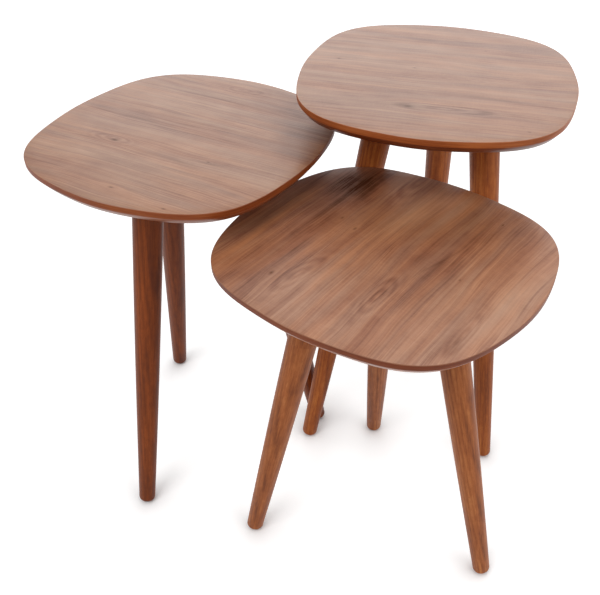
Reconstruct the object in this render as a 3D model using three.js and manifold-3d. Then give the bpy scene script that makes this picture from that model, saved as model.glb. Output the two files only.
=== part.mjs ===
// Three nesting side tables of one design and three heights, standing partly under one another.
// Each table is a veneered rounded-square board on three turned, splayed legs. A leg is held by a
// hanger bolt in an angled steel plate, and the plate is screwed to the underside of the board.
// Millimetres and degrees, +Z up, the floor at z = 0. The tables stand as they are displayed, with
// the low one in front, the middle one on the left and the tall one at the back on the right.

import * as THREE from 'three';
import { mergeVertices } from 'three/addons/utils/BufferGeometryUtils.js';
import Module from 'manifold-3d';

const wasm = await Module();
wasm.setup();

// ---------------------------------------------------------------- driving dimensions

// Board outline: a rounded square whose sides bow outwards.
const TOP_LENGTH = 360; // from the side over the single leg to the side facing it
const TOP_WIDTH = 342; // between the two other sides
const TOP_CORNER_WIDTH = 383; // across two facing corners
const SIDE_FULLNESS = 1.3; // how far the flanks stand out beyond a plain wave between side and corner

// Board section, from the top face down.
const VENEER_THICKNESS = 0.8;
const CORE_THICKNESS = 14.2;
const BOARD_THICKNESS = VENEER_THICKNESS + CORE_THICKNESS;
const BEVEL_HEIGHT = 8.5; // the lower part of the edge slopes in under the board
const BEVEL_INSET = 7;

// Heights, each table being as much taller than the next as its board and a free gap.
const LOW_HEIGHT = 484;
const GAP_OVER_LOW = 26; // between the low table's top and the middle table's underside
const GAP_OVER_MIDDLE = 41; // between the middle table's top and the tall table's underside
const MIDDLE_HEIGHT = LOW_HEIGHT + GAP_OVER_LOW + BOARD_THICKNESS;
const TALL_HEIGHT = MIDDLE_HEIGHT + GAP_OVER_MIDDLE + BOARD_THICKNESS;

// Turned leg.
const LEG_TOP_RADIUS = 19.5;
const LEG_FOOT_RADIUS = 12;
const LEG_SWELL = 0.5; // fullness of the taper, 0 for a straight cone
const LEG_FOOT_ROUND = 7; // radius of the rounded foot
const LEG_TOP_CHAMFER = 1;
const ATTACH_RADIUS = 71; // from the board's centre to where a leg's axis meets its underside

// Angled plate that a leg screws into.
const PLATE_RADIUS = 31;
const PLATE_THICKNESS = 2.5;
const BOSS_RADIUS = 14;
const BOSS_DROP = 8; // along the leg's axis, from the underside to the leg's seat
const SEAT_GAP = 0.3; // between the boss and the leg's top face

// Hanger bolt, one end in the leg and one in the plate.
const BOLT_RADIUS = 4;
const BOLT_IN_LEG = 40;
const BOLT_TOP_GAP = 1.4; // from its upper end to the underside, along the leg's axis
const BOLT_TIP = 5;
const BORE_CLEARANCE = 0.3; // round a bolt or a screw, where a real thread bites

// Pan-head plate screw.
const SCREWS_PER_PLATE = 3;
const SCREW_CIRCLE_RADIUS = 25.5;
const SCREW_RADIUS = 2;
const SCREW_DEPTH = 10; // in the board
const SCREW_TIP = 2;
const SCREW_HEAD_RADIUS = 3.8;
const SCREW_HEAD_CROWN_RADIUS = 2.4;
const SCREW_HEAD_HEIGHT = 2.4;
const PILOT_SPARE_DEPTH = 1; // how far a pilot hole runs on past the screw's tip

// The tables. turn is the bearing of the table's single leg; a leg's bearing counts from there.
// reach is how far from the table's centre a leg's axis meets the floor. The plates are screwed on
// by hand, so bearings and reaches differ a little from an even 120 degrees and one circle.
const TALL = {
  name: 'tall',
  height: TALL_HEIGHT,
  turn: 79,
  legs: {
    left: { bearing: 124.6, reach: 176.5 },
    right: { bearing: -119, reach: 169 },
    back: { bearing: -4, reach: 172 },
  },
};
const MIDDLE = {
  name: 'middle',
  height: MIDDLE_HEIGHT,
  turn: 245,
  legs: {
    front: { bearing: -6.3, reach: 186.5 },
    back: { bearing: -123.7, reach: 193 },
    right: { bearing: 125.5, reach: 166.5 },
  },
};
const LOW = {
  name: 'low',
  height: LOW_HEIGHT,
  turn: -34,
  legs: {
    left: { bearing: -138.6, reach: 172 },
    front: { bearing: 5.4, reach: 188.5 },
    back: { bearing: 119.8, reach: 191 },
  },
};

// The low table is pushed in until its rim meets the tall table's left leg.
const LOW_FROM_LEG_BEARING = -86;
const RIM_CLEARANCE = 0.3;
// The middle table is pushed in until its right foot stands just behind the tall table's left foot.
const FEET_BEARING = 70;
const FEET_CLEARANCE = 19;

// Facets.
const OUTLINE_SEGMENTS = 64;
const LEG_SEGMENTS = 16;
const TAPER_STEPS = 6;
const FOOT_STEPS = 6;
const BORE_SEGMENTS = 12;
const PLATE_SEGMENTS = 24;
const SCREW_SEGMENTS = 8;

// ---------------------------------------------------------------- derived sizes

const BORE_RADIUS = BOLT_RADIUS + BORE_CLEARANCE;
const SCREW_HOLE_RADIUS = SCREW_RADIUS + BORE_CLEARANCE;
const MEAN_SIDE_WIDTH = (TOP_LENGTH + TOP_WIDTH) / 2;
const MID_RADIUS = (MEAN_SIDE_WIDTH + TOP_CORNER_WIDTH) / 4 - SIDE_FULLNESS;
const CORNER_SWING = (TOP_CORNER_WIDTH - MEAN_SIDE_WIDTH) / 4;
const LENGTH_SWING = (TOP_LENGTH - TOP_WIDTH) / 4;

// ---------------------------------------------------------------- finishes

const FINISHES = {
  veneer: { color: 0xb28e7f, roughness: 0.5, metalness: 0 },
  edge: { color: 0x87482a, roughness: 0.45, metalness: 0 },
  leg: { color: 0x7a3e22, roughness: 0.5, metalness: 0 },
  steel: { color: 0xb4b4b8, roughness: 0.4, metalness: 1 },
};

// ---------------------------------------------------------------- helpers

const radians = THREE.MathUtils.degToRad;
const polar = (radius, angle) => new THREE.Vector2(radius * Math.cos(angle), radius * Math.sin(angle));

/** A closed three.js geometry as a solid that can be cut and joined. */
function solidOf(geometry) {
  const bare = geometry.clone();
  bare.deleteAttribute('normal');
  bare.deleteAttribute('uv');
  const merged = mergeVertices(bare, 1e-4);
  return new wasm.Manifold(
    new wasm.Mesh({
      numProp: 3,
      vertProperties: merged.attributes.position.array,
      triVerts: Uint32Array.from(merged.index.array),
    }),
  );
}

/** The surface of a cut or joined solid. */
function geometryOf(solid) {
  const mesh = solid.getMesh();
  const geometry = new THREE.BufferGeometry();
  geometry.setAttribute('position', new THREE.BufferAttribute(mesh.vertProperties, 3));
  geometry.setIndex(new THREE.BufferAttribute(mesh.triVerts, 1));
  geometry.computeVertexNormals();
  return geometry;
}

/** A turned form about Z, from [radius, z] points that run upwards along its outside. */
function turned(points, segments) {
  const profile = points.map(([radius, z]) => new THREE.Vector2(radius, z));
  return new THREE.LatheGeometry(profile, segments).rotateX(Math.PI / 2).rotateZ(Math.PI / 2);
}

/** An upright cylinder between two heights. */
function post(radius, low, high, segments) {
  const height = high - low;
  const cylinder = new THREE.CylinderGeometry(radius, radius, height, segments);
  return cylinder.rotateX(Math.PI / 2).translate(0, 0, low + height / 2);
}

function piece(name, geometry, finish) {
  const mesh = new THREE.Mesh(geometry, new THREE.MeshStandardMaterial(FINISHES[finish]));
  mesh.name = name;
  return mesh;
}

// ---------------------------------------------------------------- where things are

/** Radius of the board's rim, at an angle from the side over the single leg. */
function rimRadius(angle) {
  const oblong = LENGTH_SWING * Math.cos(2 * angle);
  const corners = CORNER_SWING * Math.cos(4 * angle);
  const fullness = SIDE_FULLNESS * Math.cos(8 * angle);
  return MID_RADIUS + oblong - corners + fullness;
}

const undersideOf = (table) => table.height - BOARD_THICKNESS;

/** A leg's lean from the upright. */
function leanOf(table, leg) {
  return Math.atan((leg.reach - ATTACH_RADIUS) / undersideOf(table));
}

/** Distance from the seat end of a leg's axis, at the underside, to the flat of its foot. */
function axisLengthOf(table, leg) {
  const lean = leanOf(table, leg);
  const flat = LEG_FOOT_RADIUS - LEG_FOOT_ROUND;
  const drop = undersideOf(table) - LEG_FOOT_ROUND - flat * Math.sin(lean);
  return LEG_FOOT_ROUND + drop / Math.cos(lean);
}

/** Radius of a leg at a share of its length, from 0 at the foot to 1 at the top. */
function legRadius(share) {
  const fullness = share * (1 + LEG_SWELL * (1 - share));
  return LEG_FOOT_RADIUS + (LEG_TOP_RADIUS - LEG_FOOT_RADIUS) * fullness;
}

/** Where a leg's axis is at height z, in plan, from its table's centre. */
function legAxisAt(table, leg, z) {
  const out = ATTACH_RADIUS + (undersideOf(table) - z) * Math.tan(leanOf(table, leg));
  return polar(out, radians(table.turn + leg.bearing));
}

/** The low table's centre, in plan, from the tall one's. */
function lowPlace() {
  const leg = TALL.legs.left;
  const rimBottom = undersideOf(LOW) + BEVEL_HEIGHT;
  const bearing = radians(LOW_FROM_LEG_BEARING);
  const legHalfWidth = legRadius(rimBottom / undersideOf(TALL)) / Math.cos(leanOf(TALL, leg));
  const rim = rimRadius(bearing + Math.PI - radians(LOW.turn));
  const distance = rim + legHalfWidth + RIM_CLEARANCE;
  return legAxisAt(TALL, leg, rimBottom).add(polar(distance, bearing));
}

/** The middle table's centre, in plan, from the tall one's. */
function middlePlace() {
  const apart = 2 * LEG_FOOT_RADIUS + FEET_CLEARANCE;
  const foot = legAxisAt(TALL, TALL.legs.left, 0).add(polar(apart, radians(FEET_BEARING)));
  return foot.sub(legAxisAt(MIDDLE, MIDDLE.legs.right, 0));
}

/** Bearings of a plate's screws from the leg's outward direction: one inwards, the rest even. */
function screwBearings() {
  return Array.from({ length: SCREWS_PER_PLATE }, (_, i) => Math.PI + (2 * Math.PI * i) / SCREWS_PER_PLATE);
}

// ---------------------------------------------------------------- pieces

/** A slice of the board: a turned disc whose rim is then drawn out to the rounded square. */
function boardSlice(profile) {
  const disc = turned(profile, OUTLINE_SEGMENTS);
  const position = disc.attributes.position;
  for (let i = 0; i < position.count; i += 1) {
    const x = position.getX(i);
    const y = position.getY(i);
    const radius = Math.hypot(x, y);
    if (radius > 1) {
      const share = 1 + (rimRadius(Math.atan2(y, x)) - MID_RADIUS) / radius;
      position.setXY(i, x * share, y * share);
    }
  }
  return disc;
}

/** The board's core with its stained edge, bevelled underneath, drilled for the plate screws. */
function coreGeometry(table) {
  let core = solidOf(
    boardSlice([
      [0, 0],
      [MID_RADIUS - BEVEL_INSET, 0],
      [MID_RADIUS, BEVEL_HEIGHT],
      [MID_RADIUS, CORE_THICKNESS],
      [0, CORE_THICKNESS],
    ]),
  );
  const pilotTop = SCREW_DEPTH + PILOT_SPARE_DEPTH;
  for (const leg of Object.values(table.legs)) {
    const plate = polar(ATTACH_RADIUS, radians(leg.bearing));
    for (const bearing of screwBearings()) {
      const spot = polar(SCREW_CIRCLE_RADIUS, radians(leg.bearing) + bearing).add(plate);
      const pilot = post(SCREW_HOLE_RADIUS, -1, pilotTop, SCREW_SEGMENTS).translate(spot.x, spot.y, 0);
      core = core.subtract(solidOf(pilot));
    }
  }
  return geometryOf(core);
}

function veneerGeometry() {
  return boardSlice([
    [0, 0],
    [MID_RADIUS, 0],
    [MID_RADIUS, VENEER_THICKNESS],
    [0, VENEER_THICKNESS],
  ]);
}

/** A leg along -Z from its seat at the origin, with the hanger bolt's bore in its top. */
function legGeometry(length) {
  const points = [[0, -length]];
  const flat = LEG_FOOT_RADIUS - LEG_FOOT_ROUND;
  for (let i = 0; i <= FOOT_STEPS; i += 1) {
    const angle = (Math.PI / 2) * (i / FOOT_STEPS);
    const rise = LEG_FOOT_ROUND * (1 - Math.cos(angle));
    points.push([flat + LEG_FOOT_ROUND * Math.sin(angle), rise - length]);
  }
  const taperStart = LEG_FOOT_ROUND;
  const taperEnd = length - LEG_TOP_CHAMFER;
  for (let i = 1; i <= TAPER_STEPS; i += 1) {
    const along = taperStart + (taperEnd - taperStart) * (i / TAPER_STEPS);
    points.push([legRadius((along - taperStart) / (taperEnd - taperStart)), along - length]);
  }
  points.push([LEG_TOP_RADIUS - LEG_TOP_CHAMFER, 0]);
  points.push([BORE_RADIUS, 0]);
  points.push([BORE_RADIUS, -BOLT_IN_LEG - BORE_CLEARANCE]);
  points.push([0, -BOLT_IN_LEG - BORE_CLEARANCE]);
  return turned(points, LEG_SEGMENTS);
}

/** A round plate below the underside at z = 0, with a boss square to the leg and its bore. */
function plateGeometry(lean) {
  const flat = post(PLATE_RADIUS, -PLATE_THICKNESS, 0, PLATE_SEGMENTS);
  const boss = post(BOSS_RADIUS, -BOSS_DROP, BOSS_DROP, PLATE_SEGMENTS).rotateY(-lean);
  const above = post(2 * PLATE_RADIUS, 0, 4 * BOSS_DROP, 4);
  const bore = post(BORE_RADIUS, -2 * BOSS_DROP, 2 * BOSS_DROP, BORE_SEGMENTS).rotateY(-lean);
  let plate = solidOf(flat).add(solidOf(boss)).subtract(solidOf(above)).subtract(solidOf(bore));
  for (const bearing of screwBearings()) {
    const spot = polar(SCREW_CIRCLE_RADIUS, bearing);
    const hole = post(SCREW_HOLE_RADIUS, -2 * PLATE_THICKNESS, PLATE_THICKNESS, SCREW_SEGMENTS);
    plate = plate.subtract(solidOf(hole.translate(spot.x, spot.y, 0)));
  }
  return geometryOf(plate);
}

/** A hanger bolt along -Z, with its origin where the leg's axis meets the underside. */
function boltGeometry() {
  const tip = -BOSS_DROP - SEAT_GAP - BOLT_IN_LEG;
  return turned(
    [
      [0, tip],
      [BOLT_RADIUS, tip + BOLT_TIP],
      [BOLT_RADIUS, -BOLT_TOP_GAP],
      [0, -BOLT_TOP_GAP],
    ],
    BORE_SEGMENTS,
  );
}

/** A plate screw pointing up, with the seat of its head at z = 0. */
function screwGeometry() {
  const tip = PLATE_THICKNESS + SCREW_DEPTH;
  return turned(
    [
      [0, -SCREW_HEAD_HEIGHT],
      [SCREW_HEAD_CROWN_RADIUS, -SCREW_HEAD_HEIGHT],
      [SCREW_HEAD_RADIUS, 0],
      [SCREW_RADIUS, 0],
      [SCREW_RADIUS, tip - SCREW_TIP],
      [0, tip],
    ],
    SCREW_SEGMENTS,
  );
}

// ---------------------------------------------------------------- assembly

/** One leg with its bolt, plate and screws, in a group turned to the leg's bearing. */
function legSet(table, side, leg) {
  const name = `${table.name}_${side}`;
  const lean = leanOf(table, leg);
  const set = new THREE.Group();
  set.rotation.z = radians(leg.bearing);

  const mount = new THREE.Group();
  mount.position.set(ATTACH_RADIUS, 0, undersideOf(table));
  mount.add(piece(`${name}_leg_plate`, plateGeometry(lean), 'steel'));
  screwBearings().forEach((bearing, i) => {
    const spot = polar(SCREW_CIRCLE_RADIUS, bearing);
    const screw = piece(`${name}_plate_screw_${i + 1}`, screwGeometry(), 'steel');
    screw.position.set(spot.x, spot.y, -PLATE_THICKNESS);
    mount.add(screw);
  });

  const leaning = new THREE.Group();
  leaning.rotation.y = -lean;
  leaning.add(piece(`${name}_hanger_bolt`, boltGeometry(), 'steel'));
  const seat = BOSS_DROP + SEAT_GAP;
  const turnedLeg = piece(`${name}_leg`, legGeometry(axisLengthOf(table, leg) - seat), 'leg');
  turnedLeg.position.z = -seat;
  leaning.add(turnedLeg);

  mount.add(leaning);
  set.add(mount);
  return set;
}

function tableGroup(table, place) {
  const group = new THREE.Group();
  group.rotation.z = radians(table.turn);
  group.position.set(place.x, place.y, 0);

  const core = piece(`${table.name}_top_board`, coreGeometry(table), 'edge');
  core.position.z = undersideOf(table);
  const veneer = piece(`${table.name}_top_veneer`, veneerGeometry(), 'veneer');
  veneer.position.z = table.height - VENEER_THICKNESS;
  group.add(core, veneer);

  for (const [side, leg] of Object.entries(table.legs)) {
    group.add(legSet(table, side, leg));
  }
  return group;
}

const nest = new THREE.Group();
nest.add(tableGroup(TALL, new THREE.Vector2(0, 0)));
nest.add(tableGroup(MIDDLE, middlePlace()));
nest.add(tableGroup(LOW, lowPlace()));

// The origin is on the floor, under the middle of the whole group.
const extent = new THREE.Box3().setFromObject(nest, true);
const centre = extent.getCenter(new THREE.Vector3());
nest.position.set(-centre.x, -centre.y, 0);
nest.updateMatrixWorld(true);

export default nest;
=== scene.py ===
"""Looks for three nesting side tables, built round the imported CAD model.

Each table is a veneered rounded-square board with a stained edge on three turned, splayed legs.
Metres, +Z up, in the CAD model's frame.
"""

import math
import random

import bmesh
import bpy
from mathutils import Matrix, Vector


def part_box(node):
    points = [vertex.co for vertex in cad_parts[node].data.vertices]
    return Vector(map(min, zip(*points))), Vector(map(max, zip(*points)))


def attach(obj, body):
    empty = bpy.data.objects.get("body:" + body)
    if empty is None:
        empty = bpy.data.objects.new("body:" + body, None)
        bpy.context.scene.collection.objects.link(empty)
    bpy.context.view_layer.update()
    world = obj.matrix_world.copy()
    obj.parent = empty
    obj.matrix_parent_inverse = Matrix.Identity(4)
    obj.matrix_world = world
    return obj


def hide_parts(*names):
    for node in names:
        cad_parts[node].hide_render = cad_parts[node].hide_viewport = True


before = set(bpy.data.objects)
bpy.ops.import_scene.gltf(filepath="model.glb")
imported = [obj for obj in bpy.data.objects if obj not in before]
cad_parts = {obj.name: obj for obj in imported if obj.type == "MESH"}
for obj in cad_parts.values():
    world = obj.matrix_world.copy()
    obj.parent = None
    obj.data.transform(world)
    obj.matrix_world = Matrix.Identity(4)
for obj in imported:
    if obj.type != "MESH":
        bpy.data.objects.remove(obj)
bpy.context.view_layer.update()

MM = 0.001

# ------------------------------------------------------------------ sizes, as in the CAD source

# Board outline, a rounded square, and its section.
TOP_LENGTH = 360 * MM  # along the line of the single leg
TOP_WIDTH = 342 * MM
TOP_CORNER_WIDTH = 383 * MM
SIDE_FULLNESS = 1.3 * MM
VENEER_THICKNESS = 0.8 * MM
BEVEL_HEIGHT = 8.5 * MM
BEVEL_INSET = 7 * MM

# Turned leg.
LEG_TOP_RADIUS = 19.5 * MM
LEG_FOOT_RADIUS = 12 * MM
LEG_SWELL = 0.5
LEG_FOOT_ROUND = 7 * MM
LEG_TOP_CHAMFER = 1 * MM
ATTACH_RADIUS = 71 * MM

# Angled leg plate, the hanger bolt in it and its pan-head screws.
PLATE_RADIUS = 31 * MM
PLATE_THICKNESS = 2.5 * MM
BOSS_RADIUS = 14 * MM
BOSS_DROP = 8 * MM  # along the leg's axis, from the underside
SEAT_GAP = 0.3 * MM
BOLT_RADIUS = 4 * MM
BOLT_IN_LEG = 40 * MM
BORE_CLEARANCE = 0.3 * MM
SCREWS_PER_PLATE = 3
SCREW_CIRCLE_RADIUS = 25.5 * MM
SCREW_RADIUS = 2 * MM
SCREW_DEPTH = 10 * MM
SCREW_TIP = 2 * MM
SCREW_HEAD_RADIUS = 3.8 * MM
SCREW_HEAD_HEIGHT = 2.4 * MM

MEAN_SIDE_WIDTH = (TOP_LENGTH + TOP_WIDTH) / 2
MID_RADIUS = (MEAN_SIDE_WIDTH + TOP_CORNER_WIDTH) / 4 - SIDE_FULLNESS
CORNER_SWING = (TOP_CORNER_WIDTH - MEAN_SIDE_WIDTH) / 4
LENGTH_SWING = (TOP_LENGTH - TOP_WIDTH) / 4
FOOT_FLAT = LEG_FOOT_RADIUS - LEG_FOOT_ROUND  # radius of the flat under a foot
LEG_SEAT_DROP = BOSS_DROP + SEAT_GAP
BORE_RADIUS = BOLT_RADIUS + BORE_CLEARANCE
BORE_DEPTH = BOLT_IN_LEG + BORE_CLEARANCE
SCREW_LENGTH = PLATE_THICKNESS + SCREW_DEPTH  # from under the head to the tip

# Bearing of each table's single leg, in degrees, and its legs as (bearing from there, reach at
# the floor in millimetres).
TABLES = {
    "tall": {
        "turn": 79,
        "legs": {"left": (124.6, 176.5), "right": (-119, 169), "back": (-4, 172)},
    },
    "middle": {
        "turn": 245,
        "legs": {"front": (-6.3, 186.5), "back": (-123.7, 193), "right": (125.5, 166.5)},
    },
    "low": {
        "turn": -34,
        "legs": {"left": (-138.6, 172), "front": (5.4, 188.5), "back": (119.8, 191)},
    },
}

# ------------------------------------------------------------------ finer detail, for looks alone

FACET_DEPTH = 0.3 * MM  # how far the CAD outline's flats lie inside its curve
BOARD_EASE = 0.45 * MM  # rounding of the board's edges
PLATE_EASE = 0.6 * MM
BOSS_EASE = 0.8 * MM
BOSS_ROOT = 0.8 * MM  # depth in the plate at which the boss ends
BORE_ROOF = 1.2 * MM  # depth at which the bolt's bore ends
HEAD_SKIRT = 0.5 * MM  # upright part of a screw's head, under its dome
RECESS_SPAN = 4.2 * MM  # the cross recess in it, from tip to tip
RECESS_WIDTH = 0.9 * MM
RECESS_DEPTH = 1.5 * MM
GRAIN_TURN = math.pi / 2  # from the bearing of the single leg to the veneer's grain

# Fineness of the meshes.
BOARD_SEGMENTS = 256
BOARD_EASE_STEPS = 5
FACE_RINGS = (0.25, 0.5, 0.75, 0.92)  # rings of vertices inside a flat, as shares of its radius
LEG_SEGMENTS = 64
LEG_RINGS = 40
FOOT_STEPS = 12
PLATE_SEGMENTS = 72
PLATE_EASE_STEPS = 4
SCREW_SEGMENTS = 28
DOME_STEPS = 6

# ------------------------------------------------------------------ camera

# The tops and the feet lie in its view as they do in the photograph.
CAMERA_PLACE = Vector((0.04337, -0.82136, 0.94892))
CAMERA_PITCH = math.radians(43.549)  # down from level
CAMERA_ROLL = math.radians(1.397)
CAMERA_LENS = 45.401
CAMERA_SHIFT = (-0.061025, 0.143435)


def make_camera():
    data = bpy.data.cameras.new("camera")
    data.lens = CAMERA_LENS
    data.shift_x, data.shift_y = CAMERA_SHIFT
    camera = bpy.data.objects.new("camera", data)
    tilt = Matrix.Rotation(math.pi / 2 - CAMERA_PITCH, 4, "X")
    roll = Matrix.Rotation(CAMERA_ROLL, 4, "Z")
    camera.matrix_world = Matrix.Translation(CAMERA_PLACE) @ tilt @ roll
    bpy.context.scene.collection.objects.link(camera)
    bpy.context.scene.camera = camera


# ------------------------------------------------------------------ material nodes

GRAIN = "grain"  # the vertex attribute that holds a piece's own coordinates

# A Mix node has a set of sockets for each type of data. These are its colour sockets.
MIX_COLOUR_INPUTS = (6, 7)
MIX_COLOUR_OUTPUT = 2


class Graph:
    """The node tree of a material or world, with short calls for the nodes that it uses."""

    def __init__(self, owner):
        self.owner = owner
        self.owner.use_nodes = True
        self.tree = self.owner.node_tree
        self.tree.nodes.clear()

    def node(self, kind, **settings):
        made = self.tree.nodes.new(kind)
        for key, value in settings.items():
            setattr(made, key, value)
        return made

    def feed(self, socket, value):
        """Links an output into the socket, or sets a number or colour on it."""
        if isinstance(value, bpy.types.NodeSocket):
            self.tree.links.new(value, socket)
        elif isinstance(value, tuple):
            socket.default_value = (*value, 1.0)
        elif value is not None:
            socket.default_value = value

    def object_coordinates(self):
        return self.node("ShaderNodeTexCoord").outputs["Object"]

    def grain_coordinates(self):
        """The piece's own coordinates, which its mesh keeps as an attribute."""
        return self.node("ShaderNodeAttribute", attribute_name=GRAIN).outputs["Vector"]

    def math(self, operation, a, b=None, c=None, clamp=False):
        made = self.node("ShaderNodeMath", operation=operation, use_clamp=clamp)
        for socket, value in zip(made.inputs, (a, b, c)):
            self.feed(socket, value)
        return made.outputs[0]

    def hypot(self, a, b):
        return self.math("SQRT", self.math("MULTIPLY_ADD", a, a, self.math("MULTIPLY", b, b)))

    def swung(self, value, noise, reach):
        """The value, moved by a noise up to half the reach either way."""
        return self.math("MULTIPLY_ADD", self.math("SUBTRACT", noise, 0.5), reach, value)

    def split(self, vector):
        made = self.node("ShaderNodeSeparateXYZ")
        self.feed(made.inputs[0], vector)
        return made.outputs

    def join(self, x, y, z):
        made = self.node("ShaderNodeCombineXYZ")
        for socket, value in zip(made.inputs, (x, y, z)):
            self.feed(socket, value)
        return made.outputs[0]

    def noise(self, vector, sizes, shift=(0, 0, 0), detail=2, roughness=0.5):
        """Noise whose features have these sizes in millimetres, with its field moved by shift."""
        mapping = self.node("ShaderNodeMapping")
        self.feed(mapping.inputs["Vector"], vector)
        mapping.inputs["Scale"].default_value = [1 / (size * MM) for size in sizes]
        mapping.inputs["Location"].default_value = shift
        made = self.node("ShaderNodeTexNoise")
        self.feed(made.inputs["Vector"], mapping.outputs[0])
        made.inputs["Scale"].default_value = 1.0
        made.inputs["Detail"].default_value = detail
        made.inputs["Roughness"].default_value = roughness
        return made.outputs["Fac"]

    def between(self, value, low, high, to_low=0.0, to_high=1.0):
        """The value's place between low and high, smoothed and clamped, as to_low to to_high."""
        made = self.node("ShaderNodeMapRange", interpolation_type="SMOOTHSTEP")
        for socket, number in zip(made.inputs, (value, low, high, to_low, to_high)):
            self.feed(socket, number)
        return made.outputs[0]

    def ramp(self, value, stops, colours):
        """A colour ramp from linear colours and the values at which each is reached."""
        made = self.node("ShaderNodeValToRGB")
        self.feed(made.inputs[0], value)
        elements = made.color_ramp.elements
        while len(elements) < len(stops):
            elements.new(1.0)
        for element, stop, colour in zip(elements, stops, colours):
            element.position = stop
            element.color = (*colour, 1.0)
        return made.outputs[0]

    def mix(self, factor, a, b, blend="MIX"):
        made = self.node("ShaderNodeMix", data_type="RGBA", blend_type=blend)
        self.feed(made.inputs[0], factor)
        for index, value in zip(MIX_COLOUR_INPUTS, (a, b)):
            self.feed(made.inputs[index], value)
        return made.outputs[MIX_COLOUR_OUTPUT]

    def tinted(self, colour, tint, mask, share):
        """The colour, with this share of the tint where the mask is 1."""
        return self.mix(self.math("MULTIPLY", mask, share), colour, tint)

    def bump(self, height, depth):
        """A normal for a height of 0 to 1 that stands for this depth in millimetres."""
        made = self.node("ShaderNodeBump")
        made.inputs["Strength"].default_value = 1.0
        made.inputs["Distance"].default_value = depth * MM
        self.feed(made.inputs["Height"], height)
        return made.outputs[0]

    def principled(self, inputs):
        """The finished material, with a principled shader that has these inputs."""
        made = self.node("ShaderNodeBsdfPrincipled")
        for name, value in inputs.items():
            self.feed(made.inputs[name], value)
        return self.finished("ShaderNodeOutputMaterial", made)

    def finished(self, kind, surface):
        """The material or world, once this node's first output is its surface."""
        self.feed(self.node(kind).inputs["Surface"], surface.outputs[0])
        return self.owner


def new_material(name):
    """The empty graph of a new material."""
    return Graph(bpy.data.materials.new(name))


def linear(code):
    """A linear colour from a six-digit sRGB code."""
    values = [int(code[i : i + 2], 16) / 255 for i in (0, 2, 4)]
    return tuple(v / 12.92 if v <= 0.04045 else ((v + 0.055) / 1.055) ** 2.4 for v in values)


def palette(*codes):
    """Linear colours from sRGB codes."""
    return tuple(linear(code) for code in codes)


# ------------------------------------------------------------------ materials

# Walnut veneer, with its grain along X.
WANDER = 24 * MM  # how far the grain strays in long waves, from one side to the other
RIPPLE = 3.5 * MM  # the same, in short waves
WALNUT_RING = 5.5 * MM  # from a pale line to a dark one, across the rings
RING_WAVER = 3.0  # how far a noise moves the rings, in those steps
KNOT_BEND = (8, 3)  # half length and half width of the grain that a knot bends, in its radii
KNOT_PUSH = 2.6  # how far it pushes that grain aside, in its radii
KNOT_CORE = (2, 1)  # half length and half width of its dark middle, in its radii
KNOT_DARKNESS = 0.60
EYE_RINGS = 2  # pale rings from the middle of an eye to its rim
EYE_SHADE = 0.3  # how dark an eye is on the whole, as a share of its strength
GLINT_SHARE = 0.45  # how strongly the fine pale lines show
PORE_SHARE = 0.22
GLOSS_SWING = 1.8  # how much the lacquer's gloss follows the tone of the grain
GLOSS_LOSS = 0.30  # how much smoke or a knot takes off it
WALNUT_STOPS = (0.22, 0.42, 0.54, 0.72)  # the tone at which each of its colours is reached
COOL_TINT, WARM_TINT = palette("f3f4f8", "fff3e3")
THROUGH = 1000  # a size so large that a noise is the same all through a sheet

# Stained beech, with its grain along Z.
BEECH_WANDER = 14 * MM
BEECH_RING = 2.2 * MM
BEECH_HEART = 45 * MM  # from the leg's axis to the heart of the trunk
BEECH_HEART_DRIFT = 30 * MM  # how much farther off the heart gets along each metre
BEECH_STRETCH = 9  # metres of grain that the legs are taken from
BEECH_STOPS = (0.32, 0.48, 0.64)
FLECK_SHARE = 0.30

EDGE_STOPS = (0.34, 0.50, 0.66)
STEEL_STOPS = (0.35, 0.65)


def ellipse_reach(g, x, y, spot):
    """How far out a place is, from 0 at the middle of an ellipse to 1 on its rim.

    spot is (along, across, half length, half width, slope), in millimetres but for the slope,
    which says how fast the long axis climbs. How far across the place is comes back too.
    """
    along, across, half_length, half_width, slope = spot
    dx = g.math("SUBTRACT", x, along * MM)
    dy = g.math("MULTIPLY_ADD", dx, -slope, g.math("SUBTRACT", y, across * MM))
    dx = g.math("DIVIDE", dx, half_length * MM)
    dy = g.math("DIVIDE", dy, half_width * MM)
    return g.hypot(dx, dy), dy


def faded(g, reach):
    """1 where the reach is 0, falling off like a bell."""
    return g.math("EXPONENT", g.math("MULTIPLY", g.math("MULTIPLY", reach, reach), -1.0))


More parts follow.
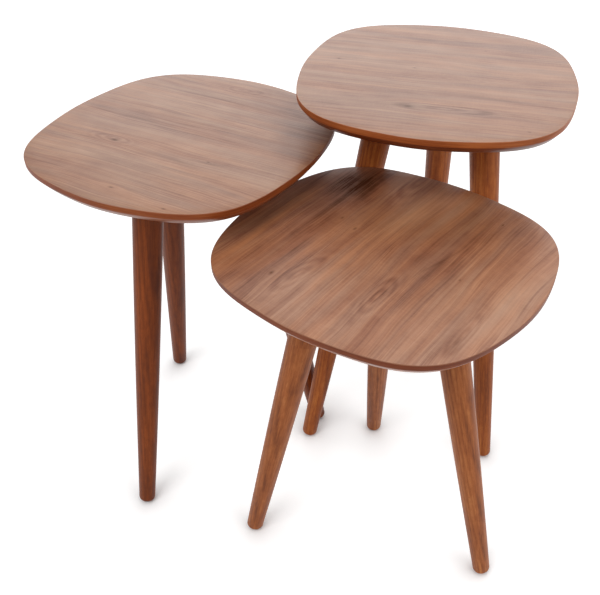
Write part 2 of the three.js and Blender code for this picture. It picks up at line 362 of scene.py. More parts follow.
def walnut_material(name, look):
    """Lacquered walnut veneer, with the features that VENEERS gives it."""
    g = new_material(name)
    dark, *_, light = look["tones"]
    place = g.grain_coordinates()
    x, y, _ = g.split(place)

    def grain_noise(field, length, width, start=(0, 0), detail=2, roughness=0.5):
        shift = (look["shift"][0] + start[0], look["shift"][1] + start[1], 0)
        return g.noise(field, (length, width, THROUGH), shift, detail, roughness)

    wander = grain_noise(place, 240, 100, detail=1)
    ripple = grain_noise(place, 60, 30, detail=1)
    across = g.swung(g.swung(y, wander, WANDER), ripple, RIPPLE)

    # The grain parts round each knot, which darkens to its middle.
    knot_dark = 0.0
    for along, side, size in look["knots"]:
        bend = (along, side, KNOT_BEND[0] * size, KNOT_BEND[1] * size, 0)
        reach, dy = ellipse_reach(g, x, y, bend)
        push = g.math("MULTIPLY", g.math("MULTIPLY", faded(g, reach), dy), KNOT_PUSH * size * MM)
        across = g.math("SUBTRACT", across, push)
        core = (along, side, KNOT_CORE[0] * size, KNOT_CORE[1] * size, 0)
        reach, _ = ellipse_reach(g, x, y, core)
        knot_dark = g.math("MAXIMUM", faded(g, reach), knot_dark)

    flow = g.join(x, across, 0.0)

    # Arched grain: the rings of a slightly leaning trunk, cut flat.
    heart_y, heart_depth, heart_lean = look["heart"]
    side = g.math("SUBTRACT", across, heart_y)
    depth = g.math("MULTIPLY_ADD", x, heart_lean, heart_depth)
    ring = g.math("DIVIDE", g.hypot(side, depth), WALNUT_RING)
    ring = g.math("MULTIPLY_ADD", grain_noise(flow, 140, 16), RING_WAVER, ring)
    ring_tone = g.between(g.math("PINGPONG", ring, 1.0), 0.1, 1.0)
    ring_area = grain_noise(flow, 110, 35, (31, 0), detail=1)
    ring_tone = g.math("MULTIPLY", ring_tone, g.between(ring_area, 0.35, 0.60))
    tone = g.math("MULTIPLY", ring_tone, -look["ring_depth"])

    # Bands, streaks and fibres, each with its share of the tone.
    streaks = grain_noise(flow, 90, 1.8, detail=3, roughness=0.6)
    fibres = grain_noise(flow, 20, 0.6, roughness=0.6)
    streak_area = grain_noise(flow, 100, 24, (23, 6), detail=1)
    streak_share = g.between(streak_area, 0.38, 0.62, *look["streak_shares"])
    layers = (
        (grain_noise(flow, 190, 11, (5, 1), detail=3), 0.25),
        (grain_noise(flow, 300, 42), 0.38),
        (grain_noise(flow, 240, 3, (13, 4)), 0.22),
        (streaks, streak_share),
        (fibres, 0.12),
        (grain_noise(flow, 36, 20), 0.18),
        (grain_noise(flow, 2.5, 10, detail=1), 0.06),
    )
    for layer, share in layers:
        tone = g.swung(tone, layer, share)

    # Broad washes: partly tone in the veneer, partly painted light and shade, such as the tall
    # table's painted shadow and reflection.
    for *spot, strength in look["light_shade_and_tone_washes"]:
        reach, _ = ellipse_reach(g, x, across, spot)
        tone = g.math("MULTIPLY_ADD", faded(g, reach), strength, tone)

    for *spot, strength in look["eyes"]:
        reach, _ = ellipse_reach(g, x, across, spot)
        loops = g.math("COSINE", g.math("MULTIPLY", reach, EYE_RINGS * 2 * math.pi))
        loops = g.math("SUBTRACT", g.math("MULTIPLY", loops, 0.5), EYE_SHADE)
        inside = g.between(reach, 0.7, 1.5, strength, 0.0)
        tone = g.math("MULTIPLY_ADD", loops, inside, tone)

    tone = g.math("MULTIPLY", tone, look["contrast"])
    colour = g.ramp(g.math("ADD", tone, 0.5), WALNUT_STOPS, look["tones"])
    hue = g.between(grain_noise(flow, 200, 20, (7, 0)), 0.36, 0.64)
    colour = g.mix(1.0, colour, g.mix(hue, COOL_TINT, WARM_TINT), "MULTIPLY")

    # Dark mineral veins, each short, in a few places.
    veins = g.between(grain_noise(flow, 90, 1.4, (3, 5), detail=1), 0.60, 0.78)
    vein_area = g.between(grain_noise(flow, 120, 30, (11, 2), detail=1), 0.46, 0.62)
    colour = g.tinted(colour, dark, g.math("MULTIPLY", veins, vein_area), look["vein_depth"])

    # Fine pale lines.
    glints = g.between(grain_noise(flow, 220, 1.1, (17, 9), detail=1), 0.62, 0.78)
    colour = g.tinted(colour, light, glints, GLINT_SHARE)

    # Smoky patches, broken up by the grain.
    smoke = 0.0
    for *spot, strength in look["smudges"]:
        reach, _ = ellipse_reach(g, x, across, spot)
        smoke = g.math("MULTIPLY_ADD", faded(g, reach), strength, smoke)
    smoke = g.math("MULTIPLY", smoke, g.between(streaks, 0.35, 0.60, 0.4, 1.0), clamp=True)
    colour = g.mix(smoke, colour, dark)

    pores = g.between(grain_noise(flow, 5, 0.35, detail=1), 0.62, 0.76)
    colour = g.tinted(colour, dark, pores, PORE_SHARE)
    colour = g.tinted(colour, dark, knot_dark, KNOT_DARKNESS)

    # Dense, dark grain takes the lacquer duller than pale grain.
    gloss = g.math("MULTIPLY_ADD", tone, GLOSS_SWING, 0.5)
    gloss = g.math("MULTIPLY_ADD", g.math("MAXIMUM", smoke, knot_dark), -GLOSS_LOSS, gloss)
    height = g.math("SUBTRACT", g.math("MULTIPLY", fibres, 0.5), pores)
    return g.principled(
        {
            "Base Color": colour,
            "Roughness": g.math("MULTIPLY_ADD", streaks, 0.10, 0.36),
            "IOR": 1.6,
            "Specular IOR Level": gloss,
            "Normal": g.bump(height, 0.02),
        }
    )


def edge_material(name, tones, roughness, gloss):
    """Stained lipping, its fine streaks running along the edge, in tones that also hold painted
    light and shade, set for each table.
    """
    g = new_material(name)
    place = g.grain_coordinates()
    streaks = g.noise(place, (45, 45, 0.9), detail=3, roughness=0.6)
    clouds = g.noise(place, (70, 70, 20))
    tone = g.math("MULTIPLY_ADD", streaks, 0.6, g.math("MULTIPLY", clouds, 0.4))
    return g.principled(
        {
            "Base Color": g.ramp(tone, EDGE_STOPS, tones),
            "Roughness": g.math("MULTIPLY_ADD", clouds, 0.12, roughness),
            "Specular IOR Level": gloss,
            "Normal": g.bump(streaks, 0.02),
        }
    )


def underside_material(tones):
    """The board's stained backing sheet, flatter and duller than the face."""
    g = new_material("stained_backing")
    place = g.grain_coordinates()
    streaks = g.noise(place, (120, 2.2, THROUGH), detail=4, roughness=0.6)
    clouds = g.noise(place, (250, 50, THROUGH))
    tone = g.math("MULTIPLY_ADD", streaks, 0.5, g.math("MULTIPLY", clouds, 0.5))
    return g.principled(
        {
            "Base Color": g.ramp(tone, EDGE_STOPS, tones),
            "Roughness": g.math("MULTIPLY_ADD", streaks, 0.15, 0.45),
            "Normal": g.bump(streaks, 0.04),
        }
    )


def beech_material(name, tones):
    """Stained beech, cut from a trunk whose heart lies off the leg."""
    g = new_material(name)
    place = g.grain_coordinates()
    x, y, z = g.split(place)

    wander = g.noise(place, (50, 50, 200))
    side = g.swung(y, wander, BEECH_WANDER)
    heart = g.math("ADD", x, BEECH_HEART)
    depth = g.math("MULTIPLY_ADD", g.math("FRACT", z), BEECH_HEART_DRIFT, heart)
    ring = g.math("DIVIDE", g.hypot(side, depth), BEECH_RING)
    ring_tone = g.between(g.math("PINGPONG", ring, 1.0), 0.2, 1.0)

    bands = g.noise(place, (10, 10, 140), detail=3)
    streaks = g.noise(place, (1.3, 1.3, 30), detail=3, roughness=0.6)
    flecks = g.between(g.noise(place, (1, 1, 4.2), detail=1), 0.55, 0.70)
    mottle = g.noise(place, (5, 5, 12))
    tone = g.math("MULTIPLY", bands, 0.48)
    for layer, share in ((streaks, 0.35), (mottle, 0.17), (ring_tone, -0.08)):
        tone = g.math("MULTIPLY_ADD", layer, share, tone)
    colour = g.tinted(g.ramp(tone, BEECH_STOPS, tones), tones[0], flecks, FLECK_SHARE)
    return g.principled(
        {
            "Base Color": colour,
            "Roughness": g.math("MULTIPLY_ADD", streaks, 0.14, 0.36),
            "Specular IOR Level": 0.18,
            "Normal": g.bump(g.math("SUBTRACT", streaks, flecks), 0.02),
        }
    )


def steel_material(tones):
    """Zinc-plated steel with faint spangle and wear."""
    g = new_material("zinc_steel")
    place = g.object_coordinates()
    spangle = g.noise(place, (4, 4, 4))
    scuffs = g.noise(place, (1.5, 10, 1.5), detail=3)
    tone = g.math("MULTIPLY_ADD", spangle, 0.6, g.math("MULTIPLY", scuffs, 0.4))
    return g.principled(
        {
            "Base Color": g.ramp(tone, STEEL_STOPS, tones),
            "Metallic": 1.0,
            "Roughness": g.math("MULTIPLY_ADD", scuffs, 0.12, 0.27),
            "Normal": g.bump(scuffs, 0.01),
        }
    )


# ------------------------------------------------------------------ meshes


def rim_offset(angle):
    """How far the rim stands out from its mean radius, at an angle from the grain."""
    bearing = angle + GRAIN_TURN
    oblong = LENGTH_SWING * math.cos(2 * bearing)
    corners = CORNER_SWING * math.cos(4 * bearing)
    return oblong - corners + SIDE_FULLNESS * math.cos(8 * bearing) - FACET_DEPTH


def mesh_from(bm):
    """The mesh of this bmesh, which is freed. add_piece names it."""
    mesh = bpy.data.meshes.new("mesh")
    bm.to_mesh(mesh)
    bm.free()
    return mesh


def revolve(profile, segments, offset=None):
    """A closed mesh turned about Z from (radius, z, material) points that run up its outside.

    The first and last points lie on the axis. offset(angle) draws the rim out, in full from the
    bevel's foot outwards and less and less towards the axis.
    """
    bm = bmesh.new()
    full_offset_radius = MID_RADIUS - BEVEL_INSET
    rings = []
    for radius, z, _ in profile:
        if radius == 0:
            rings.append([bm.verts.new((0, 0, z))])
            continue
        ring = []
        for i in range(segments):
            angle = 2 * math.pi * i / segments
            reach = radius
            if offset:
                reach += offset(angle) * min(1.0, radius / full_offset_radius)
            ring.append(bm.verts.new((reach * math.cos(angle), reach * math.sin(angle), z)))
        rings.append(ring)
    for (_, _, material), low, high in zip(profile, rings, rings[1:]):
        for i in range(segments):
            j = (i + 1) % segments
            if len(low) == 1:
                corners = [low[0], high[j], high[i]]
            elif len(high) == 1:
                corners = [low[i], low[j], high[0]]
            else:
                corners = [low[i], low[j], high[j], high[i]]
            face = bm.faces.new(corners)
            face.material_index = material
            face.smooth = True
    bm.normal_update()
    return mesh_from(bm)


def arc(centre, radius, start, end, steps, material=0):
    """(radius, z, material) points on an arc, with angles in degrees from the outward direction."""
    points = []
    for i in range(steps + 1):
        angle = math.radians(start + (end - start) * i / steps)
        out = centre[0] + radius * math.cos(angle)
        up = centre[1] + radius * math.sin(angle)
        points.append((out, up, material))
    return points


def keep_sharp(mesh, degrees):
    """Marks the edges that turn by more than this as sharp, so that flats stay flat."""
    mesh.set_sharp_from_angle(angle=math.radians(degrees))


def add_piece(name, mesh, materials, matrix, body, replaced, shift=Matrix.Identity(4)):
    """A piece whose mesh is moved into place, its own coordinates kept for the grain."""
    mesh.name = name
    grain = mesh.attributes.new(GRAIN, "FLOAT_VECTOR", "POINT")
    for vertex, kept in zip(mesh.vertices, grain.data):
        kept.vector = shift @ vertex.co
    mesh.transform(matrix)
    for material in materials:
        mesh.materials.append(material)
    piece = bpy.data.objects.new(name, mesh)
    bpy.context.scene.collection.objects.link(piece)
    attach(piece, body)
    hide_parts(*replaced)


FACE, RIM = range(2)  # the veneer's materials
BAND, BEVEL, BACKING = range(3)  # the board's materials


def veneer_mesh():
    """The veneer from its glue face at z = 0, with its top edge eased."""
    top = VENEER_THICKNESS
    profile = [(0, 0, RIM)]
    profile += [(MID_RADIUS * share, 0, RIM) for share in FACE_RINGS]
    profile += [(MID_RADIUS, 0, RIM)]
    eased = (MID_RADIUS - BOARD_EASE, top - BOARD_EASE)
    profile += arc(eased, BOARD_EASE, 0, 90, BOARD_EASE_STEPS, RIM)[:-1]
    profile += [(MID_RADIUS - BOARD_EASE, top, FACE)]
    profile += [(MID_RADIUS * share, top, FACE) for share in reversed(FACE_RINGS)]
    profile += [(0, top, FACE)]
    mesh = revolve(profile, BOARD_SEGMENTS, rim_offset)
    keep_sharp(mesh, 40)
    return mesh


def board_mesh(thickness):
    """The board from its underside at z = 0: bevel, edge band and glue face."""
    slope = math.atan2(BEVEL_HEIGHT, BEVEL_INSET)
    foot = MID_RADIUS - BEVEL_INSET
    ease_out = BOARD_EASE * math.cos(slope)
    ease_up = BOARD_EASE * math.sin(slope)
    profile = [(0, 0, BACKING)]
    profile += [(MID_RADIUS * share, 0, BACKING) for share in FACE_RINGS]
    profile += [
        (foot - BOARD_EASE, 0, BEVEL),
        (foot + ease_out, ease_up, BEVEL),
        (MID_RADIUS - ease_out, BEVEL_HEIGHT - ease_up, BAND),
        (MID_RADIUS, BEVEL_HEIGHT + BOARD_EASE, BAND),
        (MID_RADIUS, thickness, BAND),
    ]
    profile += [(MID_RADIUS * share, thickness, BAND) for share in reversed(FACE_RINGS)]
    profile += [(0, thickness, BAND)]
    mesh = revolve(profile, BOARD_SEGMENTS, rim_offset)
    keep_sharp(mesh, 60)
    return mesh


def leg_radius(share):
    """The leg's radius at a share of the way from its foot to its top."""
    taper = (LEG_TOP_RADIUS - LEG_FOOT_RADIUS) * share * (1 + LEG_SWELL * (1 - share))
    return LEG_FOOT_RADIUS + taper


def leg_mesh(length):
    """A leg down -Z from its seat at z = 0, with the bolt's bore in its top."""
    profile = [(0, -length, 0)]
    profile += arc((FOOT_FLAT, LEG_FOOT_ROUND - length), LEG_FOOT_ROUND, -90, 0, FOOT_STEPS)
    start = LEG_FOOT_ROUND
    end = length - LEG_TOP_CHAMFER
    for i in range(1, LEG_RINGS + 1):
        share = i / LEG_RINGS
        profile.append((leg_radius(share), start + (end - start) * share - length, 0))
    profile += [
        (LEG_TOP_RADIUS - LEG_TOP_CHAMFER, 0, 0),
        (BORE_RADIUS, 0, 0),
        (BORE_RADIUS, -BORE_DEPTH, 0),
        (0, -BORE_DEPTH, 0),
    ]
    mesh = revolve(profile, LEG_SEGMENTS)
    keep_sharp(mesh, 35)
    return mesh


def plate_mesh(lean):
    """A round plate under z = 0, with a boss square to the leg's axis and the bolt's bore."""
    eased = (PLATE_RADIUS - PLATE_EASE, PLATE_EASE - PLATE_THICKNESS)
    flat = [(0, -PLATE_THICKNESS, 0), *arc(eased, PLATE_EASE, -90, 0, PLATE_EASE_STEPS)]
    flat += [(PLATE_RADIUS, 0, 0), (0, 0, 0)]
    boss = [
        (0, -BORE_ROOF, 0),
        (BORE_RADIUS, -BORE_ROOF, 0),
        (BORE_RADIUS, -BOSS_DROP, 0),
        (BOSS_RADIUS - BOSS_EASE, -BOSS_DROP, 0),
        (BOSS_RADIUS, BOSS_EASE - BOSS_DROP, 0),
        (BOSS_RADIUS, 0, 0),
        (0, -BOSS_ROOT, 0),
    ]
    boss_mesh = revolve(boss, PLATE_SEGMENTS)
    for vertex in boss_mesh.vertices:
        # The boss is turned upright and leans with the leg, so its top ring is set to lie level
        # in the plate once it leans.
        if vertex.co.z == 0:
            vertex.co.z = -(BOSS_ROOT + vertex.co.x * math.sin(lean)) / math.cos(lean)
    boss_mesh.transform(Matrix.Rotation(-lean, 4, "Y"))
    bm = bmesh.new()
    for part in (revolve(flat, PLATE_SEGMENTS), boss_mesh):
        bm.from_mesh(part)
        bpy.data.meshes.remove(part)
    mesh = mesh_from(bm)
    keep_sharp(mesh, 40)
    return mesh


def box_mesh(size):
    """A box of this size about the origin."""
    bm = bmesh.new()
    bmesh.ops.create_cube(bm, size=1, matrix=Matrix.Diagonal((*size, 1)))
    return mesh_from(bm)


def cut(mesh, cutter):
    """The mesh less the cutter, as a new mesh."""
    body = bpy.data.objects.new("body", mesh)
    tool = bpy.data.objects.new("tool", cutter)
    for thing in (body, tool):
        bpy.context.scene.collection.objects.link(thing)
    body.modifiers.new("cut", "BOOLEAN").object = tool
    depsgraph = bpy.context.evaluated_depsgraph_get()
    result = bpy.data.meshes.new_from_object(body.evaluated_get(depsgraph))
    for thing in (body, tool):
        bpy.data.objects.remove(thing)
    return result


def screw_mesh():
    """A pan-head screw pointing up, the seat of its head at z = 0, with a cross recess."""
    profile = []
    for i in range(DOME_STEPS + 1):
        angle = math.pi / 2 * i / DOME_STEPS
        dome = (SCREW_HEAD_HEIGHT - HEAD_SKIRT) * math.cos(angle)
        profile.append((SCREW_HEAD_RADIUS * math.sin(angle), -HEAD_SKIRT - dome, 0))
    profile += [
        (SCREW_HEAD_RADIUS, 0, 0),
        (SCREW_RADIUS, 0, 0),
        (SCREW_RADIUS, SCREW_LENGTH - SCREW_TIP, 0),
        (0, SCREW_LENGTH, 0),
    ]
    mesh = revolve(profile, SCREW_SEGMENTS)
    for span, width in ((RECESS_SPAN, RECESS_WIDTH), (RECESS_WIDTH, RECESS_SPAN)):
        slot = box_mesh((span, width, 2 * RECESS_DEPTH))
        slot.transform(Matrix.Translation((0, 0, -SCREW_HEAD_HEIGHT)))
        mesh = cut(mesh, slot)
    keep_sharp(mesh, 35)
    return mesh


# ------------------------------------------------------------------ the tables

# Colours from dark to light.
WALNUT_TONES = palette("4a2a1c", "8a5b43", "a2714e", "b98861")
# The low table's walnut is paler: partly its own veneer, partly painted light that stands in for
# the light the higher tops keep off it.
LOW_WALNUT_TONES_WITH_PAINTED_LIGHT = palette("4c2a1b", "905c42", "aa7350", "c38c64")
BACKING_TONES = palette("5d3420", "7b4a30", "93603f")
STEEL_TONES = palette("adadae", "c4c4c1")

# The veneer of each table. shift picks its part of the noise. heart is the middle line of its
# arched grain, as (across, depth, lean), in metres but for the lean. ring_depth and vein_depth say
# how strongly the arches and the mineral veins show, and streak_shares are the least and the most
# that fine streaks count for in the tone. What has a place is given in millimetres, along and
# across the grain from the middle of the top: knots as (along, across, radius), and washes, eyes
# and smudges as (along, across, half length, half width, slope, strength). Washes are broad paler
# and darker areas, partly tone in the veneer and partly painted light and shade, among them the
# tall table's shadow and reflection painted on the tops beside and below it. Eyes are closed loops
# in the grain, and smudges are smoky patches.
VENEERS = {
    "tall": {
        "tones": WALNUT_TONES,
        "shift": (3.1, 8.4),
        "heart": (0.03, 0.030, 0.05),
        "ring_depth": 0.03,
        "vein_depth": 0.16,
        "streak_shares": (0.14, 0.52),
        "contrast": 0.62,
        "light_shade_and_tone_washes": [
            (-120, -92, 60, 26, 0.0, -0.08),
            (60, -108, 80, 18, 0.0, -0.06),
            (-60, 46, 90, 14, 0.0, -0.04),
            (110, 108, 50, 18, 0.0, -0.08),
            (15, -170, 80, 12, 0.0, -0.12),
        ],
        "knots": [
            (24, 99, 2.7),
            (131, -24, 1.4),
            (32, -17, 1.1),
            (-115, 133, 1.0),
            (-52, -98, 0.9),
        ],
        "eyes": [(-18, 98, 66, 11, 0.0, 0.12), (-30, 4, 34, 6, -0.05, 0.07)],
        "smudges": [
            (24, 99, 26, 5, 0.0, 0.30),
            (-58, 98, 22, 4, 0.0, 0.18),
            (110, 102, 50, 4, 0.03, 0.14),
            (-65, 54, 44, 4, -0.08, 0.24),
            (70, 39, 90, 3, 0.0, 0.20),
            (-80, 131, 50, 3, 0.0, 0.14),
            (30, -108, 90, 7, 0.0, 0.10),
            (140, -37, 26, 3, 0.0, 0.16),
        ],
    },
    "middle": {
        "tones": WALNUT_TONES,
        "shift": (11.7, 2.2),
        "heart": (-0.05, 0.026, -0.06),
        "ring_depth": 0.04,
        "vein_depth": 0.16,
        "streak_shares": (0.14, 0.52),
        "contrast": 0.66,
        # Painted shade: the first two washes and the last darken the top where the tall table
        # shades it and is reflected in it.
        "light_shade_and_tone_washes": [
            (132, 56, 42, 30, 0.0, -0.11),
            (80, 118, 36, 26, 0.0, -0.06),
            (20, 112, 100, 18, 0.0, -0.07),
            (-60, -44, 60, 18, 0.0, 0.05),
            (30, -108, 100, 20, 0.0, 0.06),
            (46, 168, 40, 12, 0.0, -0.10),
        ],
        "knots": [(-67, -53, 2.3), (1, -147, 1.6), (79, -158, 1.3), (64, -48, 1.0)],
        "eyes": [(-2, 150, 30, 12, 0.0, 0.06), (-72, -50, 30, 9, 0.0, 0.11)],
        "smudges": [
            (-67, -52, 8, 3, 0.0, 0.20),
            (-108, -60, 18, 1.8, 0.0, 0.40),
            (-50, -33, 60, 1.8, 0.0, 0.20),
            (36, -60, 34, 5, -0.08, 0.22),
            (66, -48, 16, 1.8, 0.0, 0.40),
            (44, -80, 26, 1.5, 0.0, 0.35),
            (88, -79, 16, 1.5, 0.0, 0.35),
            (-40, 108, 110, 5, 0.0, 0.16),
            (-40, 34, 110, 7, -0.05, 0.16),
            (-20, -101, 50, 4, 0.0, 0.14),
            (-20, -157, 80, 4, 0.0, 0.16),
        ],
    },
    "low": {
        "tones": LOW_WALNUT_TONES_WITH_PAINTED_LIGHT,
        "shift": (21.3, 14.9),
        "heart": (-0.025, 0.024, 0.07),
        "ring_depth": 0.03,
        "vein_depth": 0.12,
        "streak_shares": (0.10, 0.36),
        "contrast": 0.95,
        # Painted shade: the first four washes darken the back of the top, where the tall table
        # shades it and is reflected in it.
        "light_shade_and_tone_washes": [
            (100, 124, 46, 26, 0.0, -0.25),
            (104, 88, 54, 24, 0.0, -0.21),
            (0, 108, 60, 22, 0.0, -0.07),
            (-40, 82, 80, 16, 0.0, -0.07),
            (-80, 28, 60, 24, 0.0, 0.08),
            (70, 16, 46, 22, 0.0, 0.17),
            (118, -22, 50, 28, 0.0, 0.11),
            (-70, -50, 50, 20, 0.0, 0.04),
            (-25, -112, 70, 36, 0.0, 0.04),
            (0, -156, 90, 24, 0.0, 0.17),
        ],
        "knots": [
            (-108, 75, 1.8),
            (26, 77, 1.2),
            (15, 52, 1.5),
            (123, -81, 1.0),
            (-2, -92, 0.8),
        ],
        "eyes": [
            (-75, -37, 42, 13, 0.0, 0.08),
            (150, 46, 54, 16, 0.0, 0.08),
            (-92, 52, 48, 12, -0.12, 0.07),
            (-80, -141, 46, 11, 0.0, 0.06),
        ],
        "smudges": [
            (-60, 95, 75, 4, 0.0, 0.24),
            (77, 77, 36, 3, 0.0, 0.16),
            (8, -40, 12, 5, 0.0, 0.26),
            (100, -46, 60, 5, 0.0, 0.16),
            (10, -58, 32, 1.4, -0.20, 0.40),
            (85, -67, 42, 1.4, -0.05, 0.40),
            (-75, -77, 75, 1.0, 0.0, 0.30),
            (-152, -76, 10, 2, 0.0, 0.35),
            (25, -77, 16, 1.4, 0.0, 0.35),
            (87, -80, 15, 1.4, 0.0, 0.35),
            (-96, -142, 12, 5, 0.0, 0.36),
            (-96, -134, 32, 12, 0.0, 0.12),
        ],
    },
}
# Stain of each table's edge band. The differences between the tables are painted light and shade:
# the middle and low tables' bands are darkened and the tall table's lightened, for how the light
# falls on each.
EDGE_TONES_WITH_PAINTED_LIGHT = {
    "tall": palette("86431e", "a3572b", "b66936"),
    "middle": palette("703214", "8a431d", "9d5427"),
    "low": palette("622d15", "7a3a1d", "8b4826"),
}
# The veneer's own edge. Its pale tones are also a painted highlight along the top arris, set for
# each table.
RIM_TONES_WITH_PAINTED_HIGHLIGHT = {
    "tall": palette("8a4824", "a35a2f", "b26b3e"),
    "middle": palette("7a4026", "925232", "a2623f"),
    "low": palette("7c4a32", "935f44", "a37053"),
}
# The bevel under the edge. The differences between the tables are painted: the tall table's bevel
# is darkened as painted shade and reflection of the tops below it, and the middle and low tables'
# bevels are lightened as painted reflection of the pale floor.
BEVEL_TONES_WITH_PAINTED_LIGHT = {
    "tall": palette("5e2a12", "78391a", "8b4825"),
    "middle": palette("7a4020", "944f2c", "a7623c"),
    "low": palette("8a4a28", "a5603a", "ba744c"),
}
BEECH_TONES = {
    "tall": palette("7b3d1a", "a55725", "c27336"),
    "middle": palette("5d280d", "7e3b13", "984a1b"),
    "low": palette("7e4321", "a75e30", "c37b44"),
}

RIM_ROUGHNESS, RIM_GLOSS = 0.38, 0.30
BAND_ROUGHNESS, BAND_GLOSS = 0.38, 0.16
BEVEL_ROUGHNESS, BEVEL_GLOSS = 0.24, 0.30

BACKING_SHEET = underside_material(BACKING_TONES)
STEEL = steel_material(STEEL_TONES)
SCREW = screw_mesh()


def make_table(name, table):
    """The board of a table and its three legs."""
    body = f"{name}_table"
    veneer_low, veneer_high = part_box(f"{name}_top_veneer")
    board_low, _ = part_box(f"{name}_top_board")
    centre = (veneer_low + veneer_high) / 2
    turn = math.radians(table["turn"])
    along_grain = Matrix.Rotation(turn + GRAIN_TURN, 4, "Z")
    upright = Matrix.Translation((centre.x, centre.y, 0)) @ along_grain

    face = walnut_material(f"walnut_veneer_{name}", VENEERS[name])
    rim = edge_material(f"veneer_rim_with_painted_highlight_{name}", RIM_TONES_WITH_PAINTED_HIGHLIGHT[name], RIM_ROUGHNESS, RIM_GLOSS)
    add_piece(
        f"{name}_veneer_sheet",
        veneer_mesh(),
        [face, rim],
        Matrix.Translation((0, 0, veneer_low.z)) @ upright,
        body,
        [f"{name}_top_veneer"],
    )
    # The band's and the bevel's tones hold painted light and shade, set for each table.
    band = edge_material(f"stained_edge_with_painted_light_{name}", EDGE_TONES_WITH_PAINTED_LIGHT[name], BAND_ROUGHNESS, BAND_GLOSS)
    bevel = edge_material(f"stained_bevel_with_painted_light_{name}", BEVEL_TONES_WITH_PAINTED_LIGHT[name], BEVEL_ROUGHNESS, BEVEL_GLOSS)
    add_piece(
        f"{name}_edged_board",
        board_mesh(veneer_low.z - board_low.z),
        [band, bevel, BACKING_SHEET],
        Matrix.Translation((0, 0, board_low.z)) @ upright,
        body,
        [f"{name}_top_board"],
    )
    beech = beech_material(f"stained_beech_{name}", BEECH_TONES[name])
    under = Vector((centre.x, centre.y, board_low.z))
    for side, (bearing, reach) in table["legs"].items():
        make_leg(name, side, under, turn + math.radians(bearing), reach * MM, beech)


def make_leg(name, side, under, bearing, reach, beech):
    """A leg, its plate and the screws, where under is the middle of the board's underside.

    The leg's axis meets the floor at this reach from below that point.
    """
    stem = f"{name}_{side}"
    body = f"{name}_table"
    lean = math.atan((reach - ATTACH_RADIUS) / under.z)
    drop = under.z - LEG_FOOT_ROUND - FOOT_FLAT * math.sin(lean)
    length = LEG_FOOT_ROUND + drop / math.cos(lean) - LEG_SEAT_DROP
    turned = Matrix.Translation(under) @ Matrix.Rotation(bearing, 4, "Z")
    mount = turned @ Matrix.Translation((ATTACH_RADIUS, 0, 0))
    seat = mount @ Matrix.Rotation(-lean, 4, "Y") @ Matrix.Translation((0, 0, -LEG_SEAT_DROP))

    # Each leg is cut from its own place in the grain.
    draw = random.Random(stem)
    along = Matrix.Translation((0, 0, draw.uniform(0, BEECH_STRETCH)))
    shift = along @ Matrix.Rotation(draw.uniform(0, 2 * math.pi), 4, "Z")
    add_piece(
        f"{stem}_turned_leg",
        leg_mesh(length),
        [beech],
        seat,
        body,
        [f"{stem}_leg"],
        shift,
    )
    add_piece(
        f"{stem}_mount_plate",
        plate_mesh(lean),
        [STEEL],
        mount,
        body,
        [f"{stem}_leg_plate"],
    )
    for i in range(SCREWS_PER_PLATE):
        angle = math.pi + 2 * math.pi * i / SCREWS_PER_PLATE
        spot = Vector((math.cos(angle), math.sin(angle), 0)) * SCREW_CIRCLE_RADIUS
        spot.z = -PLATE_THICKNESS
        driven = Matrix.Rotation(draw.uniform(0, math.pi / 2), 4, "Z")
        add_piece(
            f"{stem}_mount_screw_{i + 1}",
            SCREW.copy(),
            [STEEL],
            mount @ Matrix.Translation(spot) @ driven,
            body,
            [f"{stem}_plate_screw_{i + 1}"],
        )


for table_name, table_facts in TABLES.items():
    make_table(table_name, table_facts)

# The hanger bolts lie hidden in the legs and plates, and keep the CAD model's shape.
for node_name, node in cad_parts.items():
    if node_name.endswith("_hanger_bolt"):
        node.data.materials.clear()
        node.data.materials.append(STEEL)

# ------------------------------------------------------------------ floor, light and camera

FLOOR_HALF = 6.0
FLOOR_ALBEDO = 0.80
FLOOR_GLOW = 0.62  # what the camera, mirrors and glass see on top of it, so that it looks white
FAR_GLOW = 1.0  # the same, towards the far edge of the studio
GLOW_RISES = (1.2, 3.5)  # distances from the tables between which the glow rises
FOOT_SHADE_REACH = 0.075  # how near a foot has to be to shade the glow
FOOT_SHADE_POWER = 2.1  # what the floor's openness to the light is raised to
FOOT_SHADE_SAMPLES = 8
SHADE_FROM = (-0.62, -0.62, 0.48)  # the side that the foot shadows fall away from
SKY_LIGHT = 0.23  # the share of the white world's brightness that lights the scene

# Softboxes as (place, target, size, watts).
SOFTBOXES = {
    "key": ((-1.25, -1.65, 2.6), (0, 0, 0.3), (1.7, 1.7), 40),
    "side": ((2.2, -1.4, 1.9), (0.1, -0.05, 0.35), (2.4, 2.2), 29),
    "back": ((0, 3, 1.75), (0, 0, 0.5), (3.2, 1.2), 20),
    "top": ((0.8, 0.8, 2.8), (0.05, 0, 0.5), (1.5, 1), 13),
}


def camera_glossy_transmission(g):
    """1 for camera, glossy and transmission rays, 0 for diffuse light."""
    path = g.node("ShaderNodeLightPath").outputs
    result = g.math("MAXIMUM", path["Is Camera Ray"], path["Is Glossy Ray"])
    return g.math("MAXIMUM", result, path["Is Transmission Ray"])


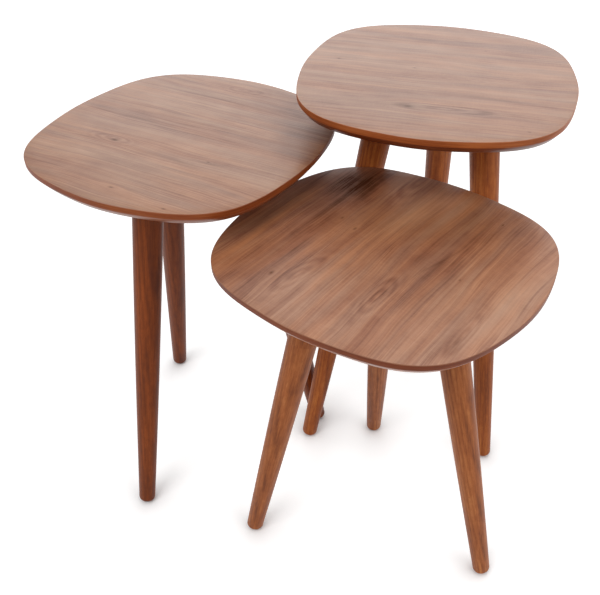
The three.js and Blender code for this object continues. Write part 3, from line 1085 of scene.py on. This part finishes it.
def floor_material():
    """A matt pale floor that camera rays see as white, but for the shadows at the feet."""
    g = new_material("pale_floor")
    diffuse = g.node("ShaderNodeBsdfDiffuse")
    g.feed(diffuse.inputs["Color"], (FLOOR_ALBEDO,) * 3)
    shade = g.node("ShaderNodeAmbientOcclusion", samples=FOOT_SHADE_SAMPLES)
    shade.inputs["Distance"].default_value = FOOT_SHADE_REACH
    shade.inputs["Normal"].default_value = SHADE_FROM
    open_share = g.math("POWER", shade.outputs["AO"], FOOT_SHADE_POWER)
    glow = g.node("ShaderNodeEmission")
    distance = g.node("ShaderNodeVectorMath", operation="LENGTH")
    g.feed(distance.inputs[0], g.object_coordinates())
    strength = g.between(distance.outputs["Value"], *GLOW_RISES, FLOOR_GLOW, FAR_GLOW)
    strength = g.math("MULTIPLY", camera_glossy_transmission(g), strength)
    g.feed(glow.inputs["Strength"], g.math("MULTIPLY", strength, open_share))
    both = g.node("ShaderNodeAddShader")
    g.feed(both.inputs[0], diffuse.outputs[0])
    g.feed(both.inputs[1], glow.outputs[0])
    return g.finished("ShaderNodeOutputMaterial", both)


def make_floor():
    mesh = bpy.data.meshes.new("floor")
    signs = [(-1, -1), (1, -1), (1, 1), (-1, 1)]
    corners = [(x * FLOOR_HALF, y * FLOOR_HALF, 0) for x, y in signs]
    mesh.from_pydata(corners, [], [(0, 1, 2, 3)])
    mesh.materials.append(floor_material())
    floor = bpy.data.objects.new("floor", mesh)
    bpy.context.scene.collection.objects.link(floor)


def make_world():
    """A white world that lights the scene with only a share of its brightness."""
    g = Graph(bpy.data.worlds.new("studio"))
    background = g.node("ShaderNodeBackground")
    g.feed(background.inputs["Color"], (1, 1, 1))
    seen = camera_glossy_transmission(g)
    g.feed(background.inputs["Strength"], g.math("MULTIPLY_ADD", seen, 1 - SKY_LIGHT, SKY_LIGHT))
    bpy.context.scene.world = g.finished("ShaderNodeOutputWorld", background)


def add_softbox(name, place, target, size, watts):
    """A rectangular soft light at a place, turned towards its target."""
    data = bpy.data.lights.new(name, "AREA")
    data.shape = "RECTANGLE"
    data.size, data.size_y = size
    data.energy = watts
    lamp = bpy.data.objects.new(name, data)
    lamp.location = place
    lamp.rotation_mode = "QUATERNION"
    lamp.rotation_quaternion = (Vector(target) - Vector(place)).to_track_quat("-Z", "Y")
    bpy.context.scene.collection.objects.link(lamp)


make_floor()
make_world()
for softbox_name, softbox_facts in SOFTBOXES.items():
    add_softbox(softbox_name, *softbox_facts)
make_camera()
bpy.context.scene.view_settings.view_transform = "Standard"
